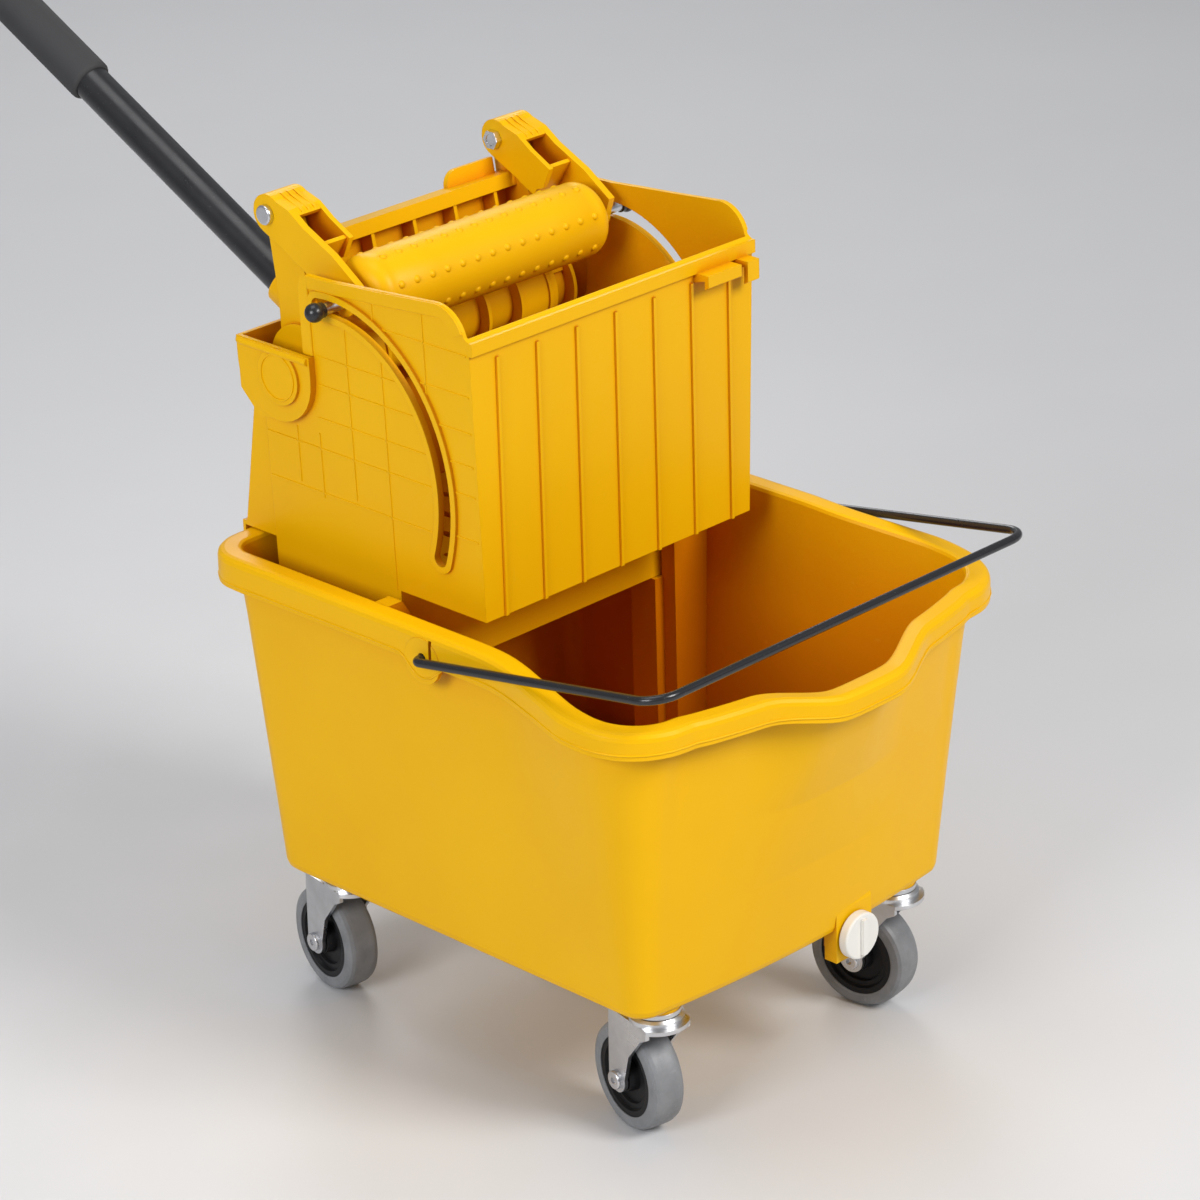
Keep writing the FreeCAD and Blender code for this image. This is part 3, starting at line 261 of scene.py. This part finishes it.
def piece(name, bm, body, slot, *replaced, material=None):
    """Makes a piece from a bmesh: it rides on a body and has its slot's material, or the one given."""
    bmesh.ops.recalc_face_normals(bm, faces=bm.faces)
    mesh = bpy.data.meshes.new(name)
    bm.to_mesh(mesh)
    bm.free()
    mesh.materials.append(material or MATERIALS[slot])
    made = bpy.data.objects.new(name, mesh)
    bpy.context.scene.collection.objects.link(made)
    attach(made, body)
    if replaced:
        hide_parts(*replaced)
    return made


def loft(bm, rings, close=False):
    """Skins rings of vertices that are closed loops; close joins the last ring to the first."""
    rows = [[bm.verts.new(point) for point in ring] for ring in rings]
    pairs = list(zip(rows, rows[1:]))
    if close:
        pairs.append((rows[-1], rows[0]))
    else:
        bm.faces.new(rows[0])
        bm.faces.new(list(reversed(rows[-1])))
    for near, far in pairs:
        for i in range(len(near)):
            j = (i + 1) % len(near)
            bm.faces.new((near[i], near[j], far[j], far[i]))


def smooth(faces):
    for face in faces:
        face.smooth = True


def centre_yz(node):
    """Middle of a node's box, seen along the X axis."""
    low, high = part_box(node)
    return Vector(((low[1] + high[1]) / 2.0, (low[2] + high[2]) / 2.0))


def arc(centre, radius, start, end, count):
    """Points (u, v) on an arc, angles in degrees."""
    points = []
    for i in range(count + 1):
        a = math.radians(start + (end - start) * i / count)
        points.append((centre[0] + radius * math.cos(a), centre[1] + radius * math.sin(a)))
    return points


# ---- roller: skin with domed, ringed ends and rows of nubs
NUB_ROWS = 7
NUBS_PER_ROW = 14
NUB_PITCH = 13.7 * MM
NUB_R = 2.6 * MM
NUB_RISE = 1.4 * MM
NUB_SINK = 0.2 * MM
FIRST_ROW = math.radians(158.0)            # measured from +Y towards +Z
ROLLER_TURNS = 72
DOME = 12.0 * MM                           # radius of the rounded end
DOME_STEP = 10                             # degrees
STEP_START = 7.0 * MM                      # the shallow step, measured from the dome's start
STEP_END = 6.0 * MM
STEP_DROP = 0.5 * MM
GROOVE_OUTER = 13.0 * MM                   # ring groove in the end face, by radius
GROOVE_INNER = 8.2 * MM
GROOVE_DRAFT = 0.8 * MM
GROOVE_DEPTH = 1.5 * MM
BORE_R = 4.1 * MM


def roller_profile(half, radius):
    """(x, r) from the middle to the end face: barrel, shallow step, dome and ring groove."""
    profile = [(half * 0.5, radius)]
    profile += [(half - DOME - STEP_START, radius), (half - DOME - STEP_END, radius - STEP_DROP)]
    for degrees in range(0, 91, DOME_STEP):
        a = math.radians(degrees)
        profile.append((half - DOME + DOME * math.sin(a), radius - DOME + DOME * math.cos(a)))
    floor = half - GROOVE_DEPTH
    profile += [(half, GROOVE_OUTER), (floor, GROOVE_OUTER - GROOVE_DRAFT)]
    profile += [(floor, GROOVE_INNER + GROOVE_DRAFT), (half, GROOVE_INNER), (half, BORE_R)]
    return profile


def roller():
    low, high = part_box("press_roller")
    centre = (Vector(low) + Vector(high)) / 2.0
    half = (high[0] - low[0]) / 2.0
    radius = (high[2] - low[2]) / 2.0
    right = roller_profile(half, radius)
    profile = [(-x, r) for x, r in reversed(right)] + right
    bm = bmesh.new()
    rings = []
    for i in range(ROLLER_TURNS):
        a = 2.0 * math.pi * i / ROLLER_TURNS
        rings.append([centre + Vector((x, r * math.cos(a), r * math.sin(a))) for x, r in profile])
    loft(bm, rings, close=True)
    smooth(bm.faces)
    for row in range(NUB_ROWS):
        a = FIRST_ROW + 2.0 * math.pi * row / NUB_ROWS
        out = Vector((0.0, math.cos(a), math.sin(a)))
        turn = out.to_track_quat("Z", "X").to_matrix().to_4x4()
        for k in range(NUBS_PER_ROW):
            x = (k - (NUBS_PER_ROW - 1) / 2.0) * NUB_PITCH
            place = Matrix.Translation(centre + Vector((x, 0, 0)) + out * (radius - NUB_SINK)) @ turn
            squashed = place @ Matrix.Diagonal((1.0, 1.0, NUB_RISE / NUB_R, 1.0))
            made = bmesh.ops.create_uvsphere(bm, u_segments=12, v_segments=8, radius=NUB_R, matrix=squashed)
            for vert in made["verts"]:
                smooth(vert.link_faces)
    piece("roller_skin", bm, "roller", "roller_plastic", "press_roller")


# ---- wringer sides: raised grid, border strip and pocket lip
SHELL_LOW = (124.9 * MM, 329.6 * MM)      # half width of the shell at a height
SHELL_HIGH = (131.1 * MM, 522.5 * MM)
GRID_RISE = 0.7 * MM
GRID_HALF = 0.9 * MM
STRIP_RISE = 1.3 * MM
STRIP_WIDTH = 9.0 * MM
STRIP_CHAMFER = 0.5 * MM
SINK = 0.4 * MM                            # how far added relief is buried in the wall


def shell_x(z):
    t = (z - SHELL_LOW[1]) / (SHELL_HIGH[1] - SHELL_LOW[1])
    return SHELL_LOW[0] + (SHELL_HIGH[0] - SHELL_LOW[0]) * t


def bar_on_side(bm, side, start, end, half, rise):
    """Ridge with a narrower crest on one side wall, between two (y, z) points."""
    run = Vector(end) - Vector(start)
    across = Vector((-run.y, run.x)).normalized()
    rings = []
    for place in (Vector(start), Vector(end)):
        ring = []
        for offset, out in ((-half, -SINK), (-half * 0.5, rise), (half * 0.5, rise), (half, -SINK)):
            y, z = place + across * offset
            ring.append((side * (shell_x(z) + out), y, z))
        rings.append(ring)
    loft(bm, rings)


# (y, lower z, upper z) of the upright lines, in millimetres
UPRIGHTS = (
    (130.0, 378.0, 424.0), (98.0, 384.0, 505.0), (65.0, 330.0, 494.0),
    (70.0, 517.0, 529.0), (23.5, 471.0, 533.0), (152.0, 384.0, 424.0),
)
# (z, back y) of the level lines in front of the slot and (z, front y, back y) of those behind it
FRONT_EDGE_Y = -15.5
FRONT_LEVELS = ((513.0, 73.0), (485.0, 31.0), (460.0, 14.0), (437.0, 5.0), (416.0, 2.0), (385.0, 4.0))
LEVELS = tuple((z, FRONT_EDGE_Y, y) for z, y in FRONT_LEVELS) + (
    (479.0, 45.0, 126.0), (459.0, 33.0, 126.0), (435.0, 24.0, 130.0),
    (413.0, 22.0, 182.0), (381.0, 24.0, 182.0),
)


def side_grid():
    bm = bmesh.new()
    for side in SIDES:
        for y, z0, z1 in UPRIGHTS:
            bar_on_side(bm, side, (y * MM, z0 * MM), (y * MM, z1 * MM), GRID_HALF, GRID_RISE)
        for z, y0, y1 in LEVELS:
            bar_on_side(bm, side, (y0 * MM, z * MM), (y1 * MM, z * MM), GRID_HALF, GRID_RISE)
    piece("side_grid", bm, "wringer", "wringer_plastic", material=RELIEF)


def strip_outer_line():
    """(y, z) along the shell's back and top edge, from above the pocket to the front corner."""
    line = [(138.7, 478.5), (138.7, 500.0)]
    line += arc((129.0, 524.5), 9.7, 0.0, 85.0, 8)
    line += [(108.0, 534.9), (84.0, 537.0), (61.0, 538.6)]
    line += arc((9.5, 519.0), 24.2, 92.0, 160.0, 8)
    return [Vector(point) * MM for point in line]


def border_strip():
    bm = bmesh.new()
    line = strip_outer_line()
    for side in SIDES:
        rings = []
        for i, place in enumerate(line):
            run = (line[min(i + 1, len(line) - 1)] - line[max(i - 1, 0)]).normalized()
            inward = Vector((-run.y, run.x))
            ring = []
            for depth, out in ((0.0, -SINK), (0.0, STRIP_RISE), (STRIP_WIDTH - STRIP_CHAMFER, STRIP_RISE),
                               (STRIP_WIDTH, STRIP_RISE - STRIP_CHAMFER), (STRIP_WIDTH, -SINK)):
                y, z = place + inward * depth
                ring.append((side * (shell_x(z) + out), y, z))
            rings.append(ring)
        loft(bm, rings)
    piece("border_strip", bm, "wringer", "wringer_plastic", material=RELIEF)


POCKET_RIM_Z = 478.0 * MM
POCKET_FRONT_Y = 131.0 * MM
POCKET_BACK_Y = 200.5 * MM
POCKET_OUT = 5.0 * MM
POCKET_ROUND = 5.0 * MM
CORNER_SHY = 0.4 * MM                      # how far the corner plates stay behind the pocket's face
LIP_R = 2.6 * MM
LIP_DROP = 3.2 * MM                        # bead's middle under the rim
LIP_TOP = 0.6 * MM                         # its edges inside the wall, under the rim
LIP_BOTTOM = 5.8 * MM


def pocket_lip():
    """Bead along the pocket's rim: back along one side, across the back and forward again."""
    x = shell_x(POCKET_RIM_Z) + POCKET_OUT
    corner = (x - POCKET_ROUND, POCKET_BACK_Y - POCKET_ROUND)
    half = [(x, POCKET_FRONT_Y), (x, POCKET_FRONT_Y + 20.0 * MM), (x, corner[1])]
    half += arc(corner, POCKET_ROUND, 10.0, 90.0, 6)
    path = half + [(-px, py) for px, py in reversed(half)]
    section = arc((0.0, -LIP_DROP), LIP_R, 90.0, -90.0, 8)
    bm = bmesh.new()
    rings = []
    for i, (px, py) in enumerate(path):
        before, after = Vector(path[max(i - 1, 0)]), Vector(path[min(i + 1, len(path) - 1)])
        run = (after - before).normalized()
        out = Vector((run.y, -run.x))
        ring = [(px - out.x * MM, py - out.y * MM, POCKET_RIM_Z - LIP_TOP)]
        for reach, drop in section:
            ring.append((px + out.x * reach, py + out.y * reach, POCKET_RIM_Z + drop))
        ring.append((px - out.x * MM, py - out.y * MM, POCKET_RIM_Z - LIP_BOTTOM))
        rings.append(ring)
    loft(bm, rings)
    piece("pocket_lip", bm, "wringer", "wringer_plastic", material=RELIEF)


def pocket_corners():
    """Plate that squares the pocket's round outline off into the shell's back edge."""
    outline = [(165.0, 426.2), (184.0, 424.2), (200.3, 440.8), (200.3, 462.0)]
    bm = bmesh.new()
    for side in SIDES:
        rings = []
        for out in (-SINK, POCKET_OUT - CORNER_SHY):
            rings.append([(side * (shell_x(z * MM) + out), y * MM, z * MM) for y, z in outline])
        loft(bm, rings)
    piece("pocket_corners", bm, "wringer", "wringer_plastic", material=RELIEF)


BOSS_FACE = 1.9 * MM                       # boss face in front of the pocket's
BOSS_RING = ((16.6, -1.0), (16.2, 0.9), (15.2, 0.9), (14.8, -1.0))      # (radius, height), millimetres
BOSS_TURNS = 48


def boss_rings():
    """Round step line on each pivot boss of the pocket."""
    centre_y, centre_z = centre_yz("pivot_shaft")
    bm = bmesh.new()
    for side in SIDES:
        x = side * (shell_x(centre_z) + POCKET_OUT + BOSS_FACE)
        rings = []
        for i in range(BOSS_TURNS):
            a = 2.0 * math.pi * i / BOSS_TURNS
            out = Vector((math.cos(a), math.sin(a)))
            ring = []
            for radius, lift in BOSS_RING:
                y, z = centre_y + out.x * radius * MM, centre_z + out.y * radius * MM
                ring.append((x + side * lift * MM, y, z))
            rings.append(ring)
        loft(bm, rings, close=True)
    piece("boss_rings", bm, "wringer", "wringer_plastic", material=RELIEF)


# ---- tub rim: a thin bead just above the skirt's lower edge
BEAD_UP = 3.2 * MM
BEAD_R = 0.8 * MM
BEAD_POINTS = 180
BEAD_SIDES = 6
SKIRT_SEARCH_Z = 280.0                     # the search for the skirt's edge goes up from here, millimetres
SKIRT_SEARCH_STEP = 0.5
SKIRT_SEARCH_COUNT = 90
SKIRT_OVERHANG = 6.0 * MM                  # least jump outwards from the wall to the skirt
RAY_START = 0.6


def skirt_point(tree, angle):
    """Point on the skirt a little above its lower edge, looking in along one compass angle."""
    out = Vector((math.cos(angle), math.sin(angle), 0.0))
    before = None
    for step in range(SKIRT_SEARCH_COUNT):
        z = (SKIRT_SEARCH_Z + SKIRT_SEARCH_STEP * step) * MM
        hit = tree.ray_cast(out * RAY_START + Vector((0, 0, z)), -out)[0]
        if before is not None and hit.to_2d().length > before + SKIRT_OVERHANG:
            return tree.ray_cast(out * RAY_START + Vector((0, 0, z + BEAD_UP)), -out)[0]
        before = hit.to_2d().length
    return None


def rim_bead():
    tub = NODES["bucket_tub"]
    bm = bmesh.new()
    bm.from_mesh(tub.data)
    tree = BVHTree.FromBMesh(bm)
    bm.free()
    found = [skirt_point(tree, 2.0 * math.pi * i / BEAD_POINTS) for i in range(BEAD_POINTS)]
    points = [point for point in found if point is not None]
    rings = []
    for i, point in enumerate(points):
        before, after = points[i - 1], points[(i + 1) % len(points)]
        centre = Vector((point.x, point.y, (before.z + 2.0 * point.z + after.z) / 4.0))
        run = (after - before).normalized()
        out = run.cross(Vector((0, 0, 1))).normalized()
        up = out.cross(run)
        ring = []
        for k in range(BEAD_SIDES):
            a = 2.0 * math.pi * k / BEAD_SIDES
            ring.append(centre + out * (BEAD_R * math.cos(a)) + up * (BEAD_R * math.sin(a)))
        rings.append(ring)
    bm = bmesh.new()
    loft(bm, rings, close=True)
    smooth(bm.faces)
    piece("rim_bead", bm, "bucket", "tub_plastic")


# ---- links: rounded cover over the bolt with three flutes
COVER_X = (90.2, 118.3)                    # millimetres from the middle plane
COVER_R = (13.4, 11.6)
COVER_ARC = (60.0, 196.0)                  # degrees, from the link's own direction
FLUTES_X = (97.5, 103.0, 108.5)
FLUTE_HALF = 1.1


def link_covers():
    bolt, rod = centre_yz("link_bolts"), centre_yz("guide_rod")
    along = (rod - bolt).normalized()
    rise = Vector((along.y, -along.x))

    def ring_at(x, outline):
        return [(x, *(bolt + along * (s * MM) + rise * (t * MM))) for s, t in outline]

    start, end = COVER_ARC
    cover = arc((0.0, 0.0), COVER_R[0], start, end, 12) + arc((0.0, 0.0), COVER_R[1], end, start, 12)
    flute = [(-6.0, 11.6), (-3.0, 13.8), (2.0, 14.4), (17.0, 17.8), (20.0, 16.4), (0.0, 12.4)]
    bm = bmesh.new()
    for side in SIDES:
        spans = [(cover, *COVER_X)]
        spans += [(flute, x - FLUTE_HALF, x + FLUTE_HALF) for x in FLUTES_X]
        for outline, x0, x1 in spans:
            loft(bm, [ring_at(side * x0 * MM, outline), ring_at(side * x1 * MM, outline)])
    piece("link_covers", bm, "links", "wringer_plastic")


roller()
side_grid()
border_strip()
pocket_corners()
pocket_lip()
boss_rings()
rim_bead()
link_covers()


# ---------------------------------------------------------------- stage
FLOOR_HALF = 30.0
LIGHT_AIM = (0.0, 0.0, 0.3)
WORLD_COLOUR = (0.93, 0.95, 1.0)
WORLD_STRENGTH = 0.30
CAMERA_PLACE = (-1.9332, -1.9281, 1.4895)
CAMERA_ANGLES = (-45.03, 23.55, -1.685)    # azimuth, elevation and roll, degrees
CAMERA_LENS = 134.2                        # millimetres
CAMERA_FAR = 100.0


def floor_material():
    g = Graph("floor_pale")
    place = g.place()
    cloud = g.noise(place, 1.2, 3.0)
    tone = g.blend(cloud, rgba((0.60, 0.60, 0.61)), rgba((0.66, 0.66, 0.67)))
    g.join(tone, g.shader.inputs["Base Color"])
    g.join(g.ramp(g.noise(place, 14.0, 3.0), 0.3, 0.7, 0.50, 0.58), g.shader.inputs["Roughness"])
    g.join(g.bump(g.noise(place, 180.0, 2.0), 0.03, 0.0003), g.shader.inputs["Normal"])
    return g.material


def make_floor():
    mesh = bpy.data.meshes.new("floor")
    bm = bmesh.new()
    bmesh.ops.create_grid(bm, x_segments=2, y_segments=2, size=FLOOR_HALF)
    bm.to_mesh(mesh)
    bm.free()
    mesh.materials.append(floor_material())
    floor = bpy.data.objects.new("floor", mesh)
    bpy.context.scene.collection.objects.link(floor)


def area_light(name, place, size, power, colour=(1.0, 1.0, 1.0)):
    """Adds a rectangular light that is turned towards the object; power is in watts."""
    data = bpy.data.lights.new(name, "AREA")
    data.shape = "RECTANGLE"
    data.size, data.size_y = size
    data.energy = power
    data.color = colour
    light = bpy.data.objects.new(name, data)
    light.location = place
    light.rotation_mode = "QUATERNION"
    light.rotation_quaternion = (Vector(LIGHT_AIM) - Vector(place)).to_track_quat("-Z", "Y")
    bpy.context.scene.collection.objects.link(light)


def make_world():
    world = bpy.data.worlds.new("studio")
    bpy.context.scene.world = world
    world.use_nodes = True
    background = world.node_tree.nodes["Background"]
    background.inputs["Color"].default_value = rgba(WORLD_COLOUR)
    background.inputs["Strength"].default_value = WORLD_STRENGTH


def make_camera():
    """Stands off the front left corner and looks down by about 24 degrees."""
    azimuth, elevation, roll = (math.radians(angle) for angle in CAMERA_ANGLES)
    back = Vector((math.sin(azimuth) * math.cos(elevation), -math.cos(azimuth) * math.cos(elevation),
                   math.sin(elevation)))
    level = Vector((0, 0, 1)).cross(back).normalized()
    rise = back.cross(level)
    right = level * math.cos(roll) + rise * math.sin(roll)
    up = rise * math.cos(roll) - level * math.sin(roll)
    data = bpy.data.cameras.new("camera")
    data.sensor_width = 36.0
    data.lens = CAMERA_LENS
    data.clip_end = CAMERA_FAR
    camera = bpy.data.objects.new("camera", data)
    turn = Matrix((right, up, back)).transposed().to_4x4()
    camera.matrix_world = Matrix.Translation(CAMERA_PLACE) @ turn
    bpy.context.scene.collection.objects.link(camera)
    bpy.context.scene.camera = camera


bpy.context.scene.view_settings.view_transform = "Standard"
make_floor()
make_world()
area_light("key", (0.6, -2.6, 2.4), (1.2, 1.2), 86.0, (1.0, 0.985, 0.96))
area_light("left_fill", (-2.8, -0.4, 1.6), (1.3, 1.1), 50.0, (0.97, 0.985, 1.0))
area_light("top", (-0.4, 0.4, 2.8), (1.4, 1.4), 16.0)
area_light("back_rim", (1.8, 2.4, 2.0), (1.2, 1.2), 20.0)
make_camera()
